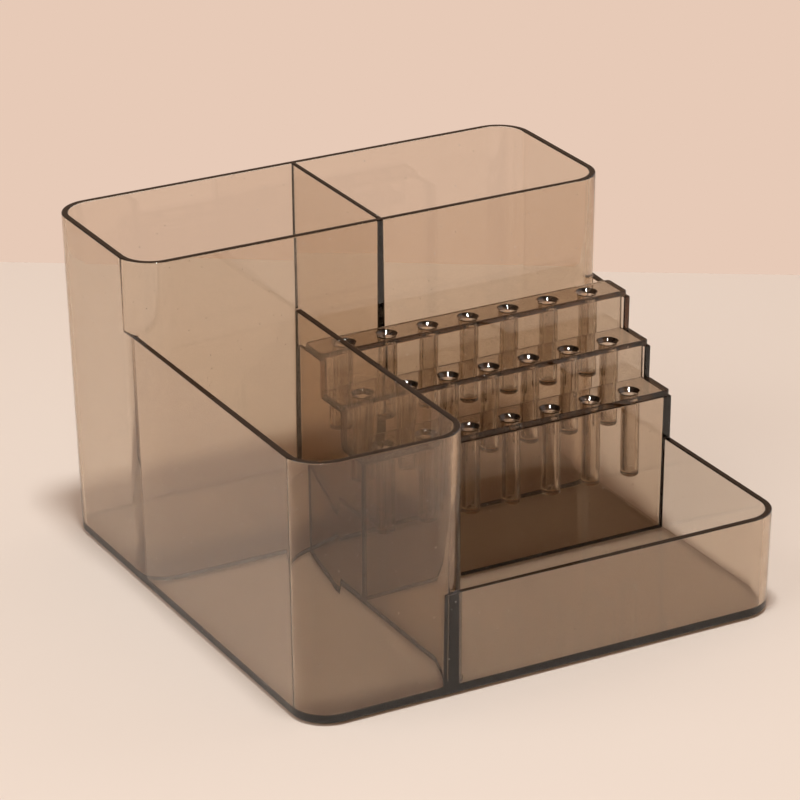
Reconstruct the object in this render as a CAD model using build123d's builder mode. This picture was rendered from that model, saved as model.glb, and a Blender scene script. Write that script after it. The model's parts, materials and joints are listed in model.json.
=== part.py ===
from build123d import *

import os
from math import atan2, degrees, radians, tan

# Desk organiser for nail drills and bits: a moulded tray body and a lift-out stepped rack of bit sockets.
# The origin is at the middle of the underside. X runs to the right, -Y is the front and Z is up.
# Sizes are in millimetres.

os.makedirs("parts", exist_ok=True)

# The outside, measured at the rim of the two tall bins
width = 155.0
depth = 159.4
height = 100.2
corner_radius = 10.6
mould_draft = 1.1

# The moulding's walls
wall = 2.0
floor = 2.2
foot_bevel = 0.7
partition_draft = 0.4

# Rim heights of the cup at the front left and of the tray at the front right
cup_height = 77.85
tray_height = 30.8

# Plan, from the left side and from the front plane at the rim of the bins
cup_width = 52.2
bins_start = 101.6
divider_centre = 78.8
divider_wall = 1.6

# The stair that carries the rack: the cross wall is its lowest step
stair_start = 62.9
step_run = 12.3
step_rise = 11.4
lowest_step = 44.0
step_count = 3
seat_width = 1.5

# The rack, folded from one thickness of sheet, with its closed sockets
sheet = 1.8
top_tread_depth = 10.6
front_setback = 0.2
lip_overlap = 1.1
lip_corner = 1.2
clearance = 0.3
socket_pitch = 13.45
socket_row_shift = -1.1
socket_end_margin = 5.0
socket_setback = 5.1
socket_outside = 5.5
socket_length = 26.2
socket_end_wall = 1.5
bore = 3.2
mouth = 6.4
mouth_depth = 1.4

# Places in the part's own frame
cut_margin = 2.0
left = -width / 2
right = width / 2
cup_rim_lean = tan(radians(mould_draft)) * (height - cup_height)
front = -(depth + cup_rim_lean) / 2
back = front + depth
cup_side = left + cup_width
bins_front = front + bins_start
divider = left + divider_centre
step_levels = [lowest_step + step_rise * n for n in range(step_count)]
step_fronts = [front + stair_start + step_run * n for n in range(step_count)]


def lean(level):
    """How far an outer wall has moved inwards at a level, measured from the rim of the bins."""
    return tan(radians(mould_draft)) * (height - level)


def spread(level, rim):
    """How much a partition's face has moved out at a level below its own rim."""
    return tan(radians(partition_draft)) * (rim - level)


def upright(edges):
    """The edges that run up the walls."""
    return edges.filter_by(lambda edge: abs(edge.tangent_at(0.5).Z) > 0.9)


def drafted_block(level, bottom, inset):
    """The outside shape between two levels, with its faces moved inwards by inset."""
    with BuildPart() as block:
        with BuildSketch(Plane.XY.offset(level)):
            with Locations((0, (front + back) / 2)):
                Rectangle(width - 2 * (lean(level) + inset), depth - 2 * (lean(level) + inset))
        extrude(amount=level - bottom, dir=(0, 0, -1))
        sides = block.faces().filter_by(Axis.Z, reverse=True)
        draft(sides, neutral_plane=Plane.XY.offset(level), angle=-mould_draft)
    return block.part


def keep_beyond(y, rim, drift):
    """Cuts the part in hand along a wall across the organiser and keeps what lies behind it.

    drift is -1 where the face comes forward as it goes down, 1 where it goes back and 0 where it is upright.
    """
    slope = tan(radians(partition_draft)) * drift
    split(bisect_by=Plane(origin=(0, y, rim), x_dir=(1, 0, 0), z_dir=(0, 1, slope)), keep=Keep.TOP)


def keep_before(y, rim, drift):
    """The same cut, keeping what lies in front of it."""
    slope = tan(radians(partition_draft)) * drift
    split(bisect_by=Plane(origin=(0, y, rim), x_dir=(1, 0, 0), z_dir=(0, 1, slope)), keep=Keep.BOTTOM)


def keep_right(x, rim, drift):
    """Cuts along a wall that runs front to back and keeps the right side; drift is 1 where it goes right downwards."""
    slope = tan(radians(partition_draft)) * drift
    split(bisect_by=Plane(origin=(x, 0, rim), x_dir=(0, 1, 0), z_dir=(1, 0, slope)), keep=Keep.TOP)


def keep_left(x, rim, drift):
    """The same cut, keeping the left side."""
    slope = tan(radians(partition_draft)) * drift
    split(bisect_by=Plane(origin=(x, 0, rim), x_dir=(0, 1, 0), z_dir=(1, 0, slope)), keep=Keep.BOTTOM)


def corner_edges(part, x_side, y_side):
    """The upright edge in one corner of the part: x_side and y_side are -1 or 1."""
    middle = part.center(CenterOf.BOUNDING_BOX)
    return upright(part.edges()).filter_by(
        lambda edge: (edge.center().X - middle.X) * x_side > 0 and (edge.center().Y - middle.Y) * y_side > 0
    )


# Outsides: the low base under everything, the tall bins, the cup and the stair
with BuildPart() as base_outside:
    add(drafted_block(tray_height, 0, 0))
    keep_before(bins_front + corner_radius + cut_margin, tray_height, 0)
    fillet(corner_edges(base_outside.part, -1, -1) + corner_edges(base_outside.part, 1, -1), corner_radius)

with BuildPart() as bins_outside:
    add(drafted_block(height, 0, 0))
    keep_beyond(bins_front, height, -1)
    fillet(upright(bins_outside.edges()), corner_radius)

with BuildPart() as cup_outside:
    add(drafted_block(cup_height, 0, 0))
    keep_left(cup_side, cup_height, 1)
    keep_before(bins_front + corner_radius + cut_margin, cup_height, 0)
    fillet(corner_edges(cup_outside.part, -1, -1) + corner_edges(cup_outside.part, 1, -1), corner_radius)

stair_steps = []
for level, step_front in zip(step_levels, step_fronts):
    with BuildPart() as step:
        add(drafted_block(level, 0, 0))
        keep_beyond(step_front, lowest_step, -1 if level == lowest_step else 0)
        keep_before(bins_front + corner_radius + cut_margin, level, 0)
        keep_right(cup_side - wall / 2, level, 0)
    stair_steps.append(step.part)

# Hollows: each is the outside shape moved in by one wall, cut off at the walls that part it from the next
with BuildPart() as left_bin:
    add(drafted_block(height + cut_margin, floor, wall))
    keep_beyond(bins_front + wall, height, 1)
    keep_left(divider - divider_wall / 2, height, -1)
    fillet(corner_edges(left_bin.part, -1, -1) + corner_edges(left_bin.part, -1, 1), corner_radius - wall)

with BuildPart() as right_bin:
    add(drafted_block(height + cut_margin, floor, wall))
    keep_beyond(bins_front + wall, height, 1)
    keep_right(divider + divider_wall / 2, height, 1)
    fillet(corner_edges(right_bin.part, 1, -1) + corner_edges(right_bin.part, 1, 1), corner_radius - wall)

with BuildPart() as cup_hollow:
    add(drafted_block(cup_height + cut_margin, floor, wall))
    keep_left(cup_side - wall, cup_height, -1)
    keep_before(bins_front + corner_radius + cut_margin, cup_height, 0)
    fillet(corner_edges(cup_hollow.part, -1, -1) + corner_edges(cup_hollow.part, 1, -1), corner_radius - wall)
    add(bins_outside.part, mode=Mode.SUBTRACT)

with BuildPart() as tray_hollow:
    add(drafted_block(tray_height + cut_margin, floor, wall))
    keep_before(step_fronts[0], lowest_step, -1)
    keep_right(cup_side - corner_radius, tray_height, 0)
    fillet(corner_edges(tray_hollow.part, 1, -1), corner_radius - wall)
    add(cup_outside.part, mode=Mode.SUBTRACT)

with BuildPart() as rack_well:
    add(drafted_block(step_levels[-1] + cut_margin, floor, wall))
    keep_beyond(step_fronts[0] + wall, lowest_step, 1)
    keep_before(bins_front + corner_radius + cut_margin, lowest_step, 0)
    keep_right(cup_side + seat_width, step_levels[-1], 1)
    add(bins_outside.part, mode=Mode.SUBTRACT)

# The body, moulded in one piece
with BuildPart() as organiser_body:
    add(base_outside.part)
    add(stair_steps)
    add(cup_outside.part)
    add(bins_outside.part)
    add([left_bin.part, right_bin.part, cup_hollow.part], mode=Mode.SUBTRACT)
    add([tray_hollow.part, rack_well.part], mode=Mode.SUBTRACT)
    chamfer(organiser_body.faces().sort_by(Axis.Z)[0].edges(), foot_bevel)

organiser_body.part.label = "organiser_body"
export_step(organiser_body.part, "parts/organiser_body.step")

# The rack: treads and risers folded over the stair, lips on its two seats and closed sockets below
tread_fronts = [step_front + front_setback for step_front in step_fronts]
tread_tops = [level + sheet for level in step_levels]
rack_back = tread_fronts[-1] + top_tread_depth
riser_left = cup_side + seat_width + spread(lowest_step, step_levels[-1]) + clearance
riser_right = right - lean(lowest_step) - wall - clearance
rack_left = cup_side + spread(lowest_step, cup_height) + clearance
rack_right = right - lean(step_levels[-1]) - wall + lip_overlap
lip_backs = [step_front - clearance for step_front in step_fronts[1:]] + [rack_back]
socket_row = (rack_left + rack_right) / 2 + socket_row_shift
socket_count = 1 + int((rack_right - rack_left - 2 * socket_end_margin - socket_outside) / socket_pitch)
mouth_angle = 2 * degrees(atan2((mouth - bore) / 2, mouth_depth))

under_side = []
top_side = []
for n in range(step_count):
    tread_end = tread_fronts[n + 1] if n + 1 < step_count else rack_back
    under_start = tread_fronts[n] + sheet if n else tread_fronts[n]
    under_end = tread_end + sheet if n + 1 < step_count else rack_back
    under_side += [(under_start, step_levels[n]), (under_end, step_levels[n])]
    top_side += [(tread_fronts[n], tread_tops[n]), (tread_end, tread_tops[n])]

with BuildPart() as bit_rack:
    with BuildSketch(Plane.YZ.offset(riser_left)):
        with BuildLine():
            Polyline(under_side + top_side[::-1], close=True)
        make_face()
    extrude(amount=riser_right - riser_left)
    for n in range(step_count):
        with BuildSketch(Plane.XY.offset(step_levels[n])):
            with Locations(((rack_left + rack_right) / 2, (tread_fronts[n] + lip_backs[n]) / 2)):
                RectangleRounded(rack_right - rack_left, lip_backs[n] - tread_fronts[n], lip_corner)
        extrude(amount=sheet)
    for n in range(step_count):
        socket_line = tread_fronts[n] + socket_setback
        with BuildSketch(Plane.XY.offset(tread_tops[n])):
            with Locations((socket_row, socket_line)):
                with GridLocations(socket_pitch, 1, socket_count, 1):
                    Circle(socket_outside / 2)
        extrude(amount=socket_length, dir=(0, 0, -1))
    for n in range(step_count):
        socket_line = tread_fronts[n] + socket_setback
        with Locations((socket_row, socket_line, tread_tops[n])):
            with GridLocations(socket_pitch, 1, socket_count, 1):
                CounterSinkHole(
                    radius=bore / 2,
                    counter_sink_radius=mouth / 2,
                    depth=socket_length - socket_end_wall,
                    counter_sink_angle=mouth_angle,
                )

bit_rack.part.label = "bit_rack"
export_step(bit_rack.part, "parts/bit_rack.step")
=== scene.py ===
"""Looks of a clear smoke-brown desk organiser for nail drills: a moulded tray body and its lift-out rack.

Lengths are in metres, in the frame of the construction model: +X right, -Y front, +Z up, underside at Z = 0.
"""

import json
from math import cos, radians, sin

import bmesh
import bpy
import numpy as np
from mathutils import Matrix, Vector


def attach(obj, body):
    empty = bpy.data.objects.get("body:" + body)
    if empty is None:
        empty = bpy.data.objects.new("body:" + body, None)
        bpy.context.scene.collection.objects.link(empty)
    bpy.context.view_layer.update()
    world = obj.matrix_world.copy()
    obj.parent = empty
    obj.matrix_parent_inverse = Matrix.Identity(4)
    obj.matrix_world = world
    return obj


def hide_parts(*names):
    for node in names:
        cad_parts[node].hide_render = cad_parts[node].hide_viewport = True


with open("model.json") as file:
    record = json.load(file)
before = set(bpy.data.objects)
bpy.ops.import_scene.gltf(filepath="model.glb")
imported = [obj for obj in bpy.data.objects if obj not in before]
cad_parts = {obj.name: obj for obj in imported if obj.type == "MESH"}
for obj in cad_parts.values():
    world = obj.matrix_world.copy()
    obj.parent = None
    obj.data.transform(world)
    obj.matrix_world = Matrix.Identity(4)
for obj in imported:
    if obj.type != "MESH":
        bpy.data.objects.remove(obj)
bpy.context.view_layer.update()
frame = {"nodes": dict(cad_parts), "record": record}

MM = 0.001

# Edges, as a polished steel mould leaves them. Where two faces meet at less than SHARP_ANGLE, their edge isn't
# rounded.
BODY_ROUND = 0.4 * MM
RACK_ROUND = 0.25 * MM
SOCKET_END_ROUND = 0.6 * MM
SHARP_ANGLE = radians(28)

# Places on the mouldings: the wall below a bore, and a plane across both tall bins, measured along Y
SOCKET_END_WALL = 1.5 * MM
BINS_MIDDLE = 50 * MM
# The loose rack rides a hair above its seats, so that the two clear surfaces stay apart
SEAT_GAP = 0.05 * MM

# Tolerances for the work on the meshes
MERGE_DISTANCE = 0.002 * MM
CUT_TOLERANCE = 0.005 * MM
LEVEL_TOLERANCE = 0.02 * MM
FLAT_ANGLE = radians(0.4)

# Patterns on the plastic: rubbed patches, waves of the mould's faces, and dust with one grain to a cell.
# A grain is densest inside DUST_CORE and ends at DUST_RADIUS.
RUBBED_PATCH = 20 * MM
MOULD_WAVE = 35.71 * MM
DUST_CELL = 3.846 * MM
DUST_CORE = 0.1154 * MM
DUST_RADIUS = 0.2115 * MM

# The photograph's camera: a long lens, a little left of the front and above
LENS_MM = 176.47
SENSOR_MM = 36.0
YAW, PITCH, ROLL = radians(28.407), radians(23.015), radians(-0.391)
DISTANCE = 1136.03 * MM
TARGET = Vector((0.0, -0.221, 31.0)) * MM
AIM_RIGHT = -4.711 * MM
AIM_UP = 19.515 * MM
VIEW_RANGE = 20.0

# The table's far edge at the left and right sides of the 800 pixel photograph. The table lies a hair below
# the object's foot, so that the two surfaces stay apart.
PHOTO_SIZE = 800
TABLE_EDGE_PIXELS = ((0, 262), (PHOTO_SIZE, 275))
TABLE_LEVEL = -0.4 * MM
TABLE_REACH = 6.0

# The lamps: name, place, side of the square softbox and power in watts
LAMPS = (
    ("key softbox", (-1.25, -0.1, 0.9), 1.5, 9.3),
    ("fill softbox", (1.3, 0.1, 0.9), 1.5, 3.4),
    ("top softbox", (-0.1, -0.25, 1.5), 0.22, 16.5),
)
LAMP_AIM = Vector((0, 0, 30)) * MM
LAMP_COLOUR = "#F2F8FF"

# Heights in the world around, as sines of the angle above the horizon: the pale backdrop ends at about
# 10 degrees and the dim room begins at about 17
BACKDROP_TOP = 0.17
ROOM_FOOT = 0.29


def linear(hex_colour):
    """An sRGB hex colour as linear red, green and blue."""
    values = [int(hex_colour[i:i + 2], 16) / 255 for i in (1, 3, 5)]
    return tuple(v / 12.92 if v <= 0.04045 else ((v + 0.055) / 1.055) ** 2.4 for v in values)


def rgba(hex_colour):
    """An sRGB hex colour as a linear colour with full opacity."""
    return (*linear(hex_colour), 1.0)


def add_node(tree, kind, links=None, **settings):
    """Adds a node. links feed its inputs. settings are its properties, or values of the inputs they name."""
    node = tree.nodes.new(kind)
    for key, value in settings.items():
        if hasattr(node, key):
            setattr(node, key, value)
        else:
            node.inputs[key.replace("_", " ")].default_value = value
    for key, socket in (links or {}).items():
        tree.links.new(socket, node.inputs[key])
    return node


def new_material(name):
    """An empty material and its node tree."""
    material = bpy.data.materials.new(name)
    material.use_nodes = True
    material.node_tree.nodes.clear()
    return material, material.node_tree


# Materials


def smoke_polystyrene(name, hex_absorption, density):
    """Clear polystyrene, tinted smoke brown in the pellet and moulded in a polished mould.

    It bends light strongly (IOR 1.59), so rims and edges look almost black, and it darkens with thickness,
    which the volume absorption does. The faces are mirror-smooth apart from handling: patches with a duller
    polish and single grains of dust, both too faint to hide what lies behind. What hex_absorption lacks in
    each colour, times density, is the absorption per metre.
    """
    material, tree = new_material(name)
    place = add_node(tree, "ShaderNodeTexCoord").outputs["Object"]
    # Rubbed patches, where the polish is a little duller
    rubbed = add_node(tree, "ShaderNodeTexNoise", {"Vector": place}, Scale=1 / RUBBED_PATCH, Detail=3.0)
    polish = add_node(
        tree,
        "ShaderNodeMapRange",
        {"Value": rubbed.outputs["Fac"]},
        From_Min=0.35,
        From_Max=0.75,
        To_Min=0.006,
        To_Max=0.022,
    )
    # The mould's faces aren't quite flat
    waves = add_node(tree, "ShaderNodeTexNoise", {"Vector": place}, Scale=1 / MOULD_WAVE, Detail=1.0)
    height = {"Height": waves.outputs["Fac"]}
    bump = add_node(tree, "ShaderNodeBump", height, Strength=0.05, Distance=0.4 * MM)
    glass = add_node(
        tree,
        "ShaderNodeBsdfPrincipled",
        {"Roughness": polish.outputs[0], "Normal": bump.outputs["Normal"]},
        Base_Color=(1.0, 1.0, 1.0, 1.0),
        IOR=1.59,
        Transmission_Weight=1.0,
    )
    # Grains of dust. One shows only where its cell's point lies close to a face, so the grains are further
    # apart than the cells are wide.
    grains = add_node(tree, "ShaderNodeTexVoronoi", {"Vector": place}, Scale=1 / DUST_CELL)
    grain = add_node(
        tree,
        "ShaderNodeMapRange",
        {"Value": grains.outputs["Distance"]},
        From_Min=DUST_CORE / DUST_CELL,
        From_Max=DUST_RADIUS / DUST_CELL,
        To_Min=0.7,
        To_Max=0.0,
    )
    dust = add_node(tree, "ShaderNodeBsdfDiffuse", Color=rgba("#E8E2DA"))
    layers = {0: grain.outputs[0], 1: glass.outputs[0], 2: dust.outputs[0]}
    dusty = add_node(tree, "ShaderNodeMixShader", layers)
    tint = add_node(tree, "ShaderNodeVolumeAbsorption", Color=rgba(hex_absorption), Density=density)
    add_node(tree, "ShaderNodeOutputMaterial", {"Surface": dusty.outputs[0], "Volume": tint.outputs[0]})
    return material


def matt_paint(name, hex_colour, roughness):
    """A plain painted studio surface, dead matt."""
    material, tree = new_material(name)
    paint = add_node(
        tree,
        "ShaderNodeBsdfPrincipled",
        Base_Color=rgba(hex_colour),
        Roughness=roughness,
        Specular_IOR_Level=0.1,
    )
    add_node(tree, "ShaderNodeOutputMaterial", {"Surface": paint.outputs[0]})
    return material


# The mouldings


def merged_copy(node, name, cuts):
    """A copy of a node with its loose triangles joined and flat faces made whole, for modifiers to work on.

    cuts are planes, each a point and a normal, that pass through the openings. Flat faces are parted there,
    because one face can't hold a hole.
    """
    mesh = frame["nodes"][node].data.copy()
    mesh.name = name
    work = bmesh.new()
    work.from_mesh(mesh)
    bmesh.ops.remove_doubles(work, verts=work.verts, dist=MERGE_DISTANCE)
    for point, normal in cuts:
        everything = work.verts[:] + work.edges[:] + work.faces[:]
        cut = bmesh.ops.bisect_plane(
            work,
            geom=everything,
            plane_co=point,
            plane_no=normal,
            dist=CUT_TOLERANCE,
        )
        for part in cut["geom_cut"]:
            if isinstance(part, bmesh.types.BMEdge):
                part.seam = True
    bmesh.ops.dissolve_limit(
        work,
        angle_limit=FLAT_ANGLE,
        verts=work.verts,
        edges=work.edges,
        delimit={"SEAM"},
        use_dissolve_boundaries=False,
    )
    work.to_mesh(mesh)
    work.free()
    mesh.materials.clear()
    piece = bpy.data.objects.new(name, mesh)
    bpy.context.scene.collection.objects.link(piece)
    return piece


def bores():
    """The model's mounts for the shanks of bits, one to a socket."""
    return [mount for mount in frame["record"]["mounts"] if mount["kind"] == "bore"]


def socket_columns():
    """The places, from left to right, of the columns of sockets."""
    return sorted({bore["pos_m"][0] for bore in bores()})


def socket_ends():
    """The heights of the sockets' closed ends: half a bore and one end wall below the bore's middle."""
    ends = set()
    for bore in bores():
        ends.add(bore["pos_m"][2] - bore["dims"]["length_mm"] / 2 * MM - SOCKET_END_WALL)
    return sorted(ends)


def face_angles(mesh):
    """The angle between the two faces at each edge."""
    work = bmesh.new()
    work.from_mesh(mesh)
    angles = np.array([edge.calc_face_angle(0.0) for edge in work.edges])
    work.free()
    return angles


def edge_levels(mesh):
    """The heights of the two ends of each edge, as one row of two per edge."""
    places = np.empty(len(mesh.vertices) * 3)
    mesh.vertices.foreach_get("co", places)
    ends = np.empty(len(mesh.edges) * 2, dtype=int)
    mesh.edges.foreach_get("vertices", ends)
    return places.reshape(-1, 3)[ends.reshape(-1, 2), 2]


def dress_moulding(node, name, cuts, edge_round, end_levels, material, body):
    """A moulding's node with its sharp edges rounded, its flat faces shaded flat and its rounds smooth.

    Edges that lie at one of end_levels, the closed ends of sockets, get the larger SOCKET_END_ROUND. The
    bevel weight of an edge is its own round as a share of the largest one.
    """
    piece = merged_copy(node, name, cuts)
    mesh = piece.data
    sharp = face_angles(mesh) > SHARP_ANGLE
    levels = edge_levels(mesh)
    at_end = np.zeros(len(sharp), dtype=bool)
    for level in end_levels:
        at_end |= (np.abs(levels - level) < LEVEL_TOLERANCE).all(axis=1)
    largest = SOCKET_END_ROUND if at_end.any() else edge_round
    weights = mesh.attributes.new("bevel_weight_edge", "FLOAT", "EDGE")
    weights.data.foreach_set("value", sharp * np.where(at_end, 1.0, edge_round / largest))
    mesh.shade_smooth()
    rounding = piece.modifiers.new("edge rounding", "BEVEL")
    rounding.limit_method = "WEIGHT"
    rounding.width = largest
    rounding.segments = 3
    rounding.use_clamp_overlap = False
    shading = piece.modifiers.new("flat faces", "WEIGHTED_NORMAL")
    shading.keep_sharp = True
    mesh.materials.append(material)
    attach(piece, body)
    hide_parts(node)
    return piece


# Camera


def camera_axes():
    """The camera's right, up and forward directions."""
    forward = Vector((sin(YAW) * cos(PITCH), cos(YAW) * cos(PITCH), -sin(PITCH)))
    right = Vector((cos(YAW), -sin(YAW), 0.0))
    up = right.cross(forward)
    rolled_right = right * cos(ROLL) + up * sin(ROLL)
    rolled_up = up * cos(ROLL) - right * sin(ROLL)
    return rolled_right, rolled_up, forward


def camera_place():
    """The camera's place: DISTANCE back from the target, and shifted by AIM_RIGHT and AIM_UP."""
    right, up, forward = camera_axes()
    return TARGET + right * AIM_RIGHT + up * AIM_UP - forward * DISTANCE


def add_camera():
    """The photograph's camera, far off with a long lens."""
    right, up, forward = camera_axes()
    data = bpy.data.cameras.new("camera")
    data.lens = LENS_MM
    data.sensor_width = SENSOR_MM
    data.clip_end = VIEW_RANGE
    camera = bpy.data.objects.new("camera", data)
    turn = Matrix((right, up, -forward)).transposed().to_4x4()
    camera.matrix_world = Matrix.Translation(camera_place()) @ turn
    bpy.context.scene.collection.objects.link(camera)
    bpy.context.scene.camera = camera


def table_point(pixel):
    """The point of the table that a pixel of the photograph shows."""
    right, up, forward = camera_axes()
    focal_pixels = PHOTO_SIZE * LENS_MM / SENSOR_MM
    across, down = pixel[0] - PHOTO_SIZE / 2, pixel[1] - PHOTO_SIZE / 2
    ray = forward * focal_pixels + right * across - up * down
    start = camera_place()
    return start + ray * ((TABLE_LEVEL - start.z) / ray.z)


# Stage and light


def add_stage():
    """A pale table top, whose far edge lies where the photograph has it, before the world's pale backdrop."""
    left, right = (table_point(pixel) for pixel in TABLE_EDGE_PIXELS)
    along = (right - left).normalized()
    back = Vector((-along.y, along.x, 0.0))
    middle = (left + right) / 2
    corners = []
    for a, b in ((-1, 0), (1, 0), (1, -1), (-1, -1)):
        corners.append(middle + (along * a + back * b) * TABLE_REACH)
    mesh = bpy.data.meshes.new("table")
    mesh.from_pydata(corners, [], [(0, 1, 2, 3)])
    mesh.materials.append(matt_paint("matt paint, table", "#DED0C1", 0.9))
    table = bpy.data.objects.new("table", mesh)
    bpy.context.scene.collection.objects.link(table)


def add_softbox(name, place, side, watts):
    """A square soft lamp that faces the object."""
    data = bpy.data.lights.new(name, "AREA")
    data.shape = "SQUARE"
    data.size = side
    data.energy = watts
    data.color = linear(LAMP_COLOUR)
    lamp = bpy.data.objects.new(name, data)
    lamp.location = place
    lamp.rotation_euler = (LAMP_AIM - Vector(place)).to_track_quat("-Z", "Y").to_euler()
    bpy.context.scene.collection.objects.link(lamp)


def add_light():
    """A large soft lamp on the left, a weaker one on the right and a small one overhead, in a dim warm room.

    All round is a pale backdrop, up to BACKDROP_TOP, and from ROOM_FOOT on the dim room that the rims mirror.
    """
    for name, place, side, watts in LAMPS:
        add_softbox(name, place, side, watts)
    world = bpy.data.worlds.new("room")
    world.use_nodes = True
    tree = world.node_tree
    tree.nodes.clear()
    direction = add_node(tree, "ShaderNodeTexCoord").outputs["Generated"]
    height = add_node(tree, "ShaderNodeSeparateXYZ", {"Vector": direction}).outputs["Z"]
    above = add_node(tree, "ShaderNodeMapRange", {"Value": height}, From_Min=BACKDROP_TOP, From_Max=ROOM_FOOT)
    backdrop = add_node(tree, "ShaderNodeBackground", Color=rgba("#E7CAB7"), Strength=1.0)
    room = add_node(tree, "ShaderNodeBackground", Color=rgba("#EEC3A5"), Strength=0.4)
    layers = {0: above.outputs[0], 1: backdrop.outputs[0], 2: room.outputs[0]}
    surroundings = add_node(tree, "ShaderNodeMixShader", layers)
    add_node(tree, "ShaderNodeOutputWorld", {"Surface": surroundings.outputs[0]})
    bpy.context.scene.world = world


scene = bpy.context.scene
scene.view_settings.view_transform = "Standard"
# Light may cross a dozen thin walls, with two faces each
scene.cycles.max_bounces = 32
scene.cycles.transmission_bounces = 32
scene.cycles.transparent_max_bounces = 48

add_camera()
add_stage()
add_light()
body_plastic = smoke_polystyrene("smoke polystyrene, body moulding", "#D9C4A4", 288.0)
rack_plastic = smoke_polystyrene("smoke polystyrene, rack moulding", "#D1C2AA", 425.0)
across_bins = [((0, BINS_MIDDLE, 0), (0, 1, 0))]
through_sockets = [((x, 0, 0), (1, 0, 0)) for x in socket_columns()]
dress_moulding(
    "organiser_body",
    "organiser_body_moulding",
    across_bins,
    BODY_ROUND,
    [],
    body_plastic,
    "organiser",
)
rack = dress_moulding(
    "bit_rack",
    "bit_rack_moulding",
    through_sockets,
    RACK_ROUND,
    socket_ends(),
    rack_plastic,
    "rack",
)
rack.data.transform(Matrix.Translation((0, 0, SEAT_GAP)))
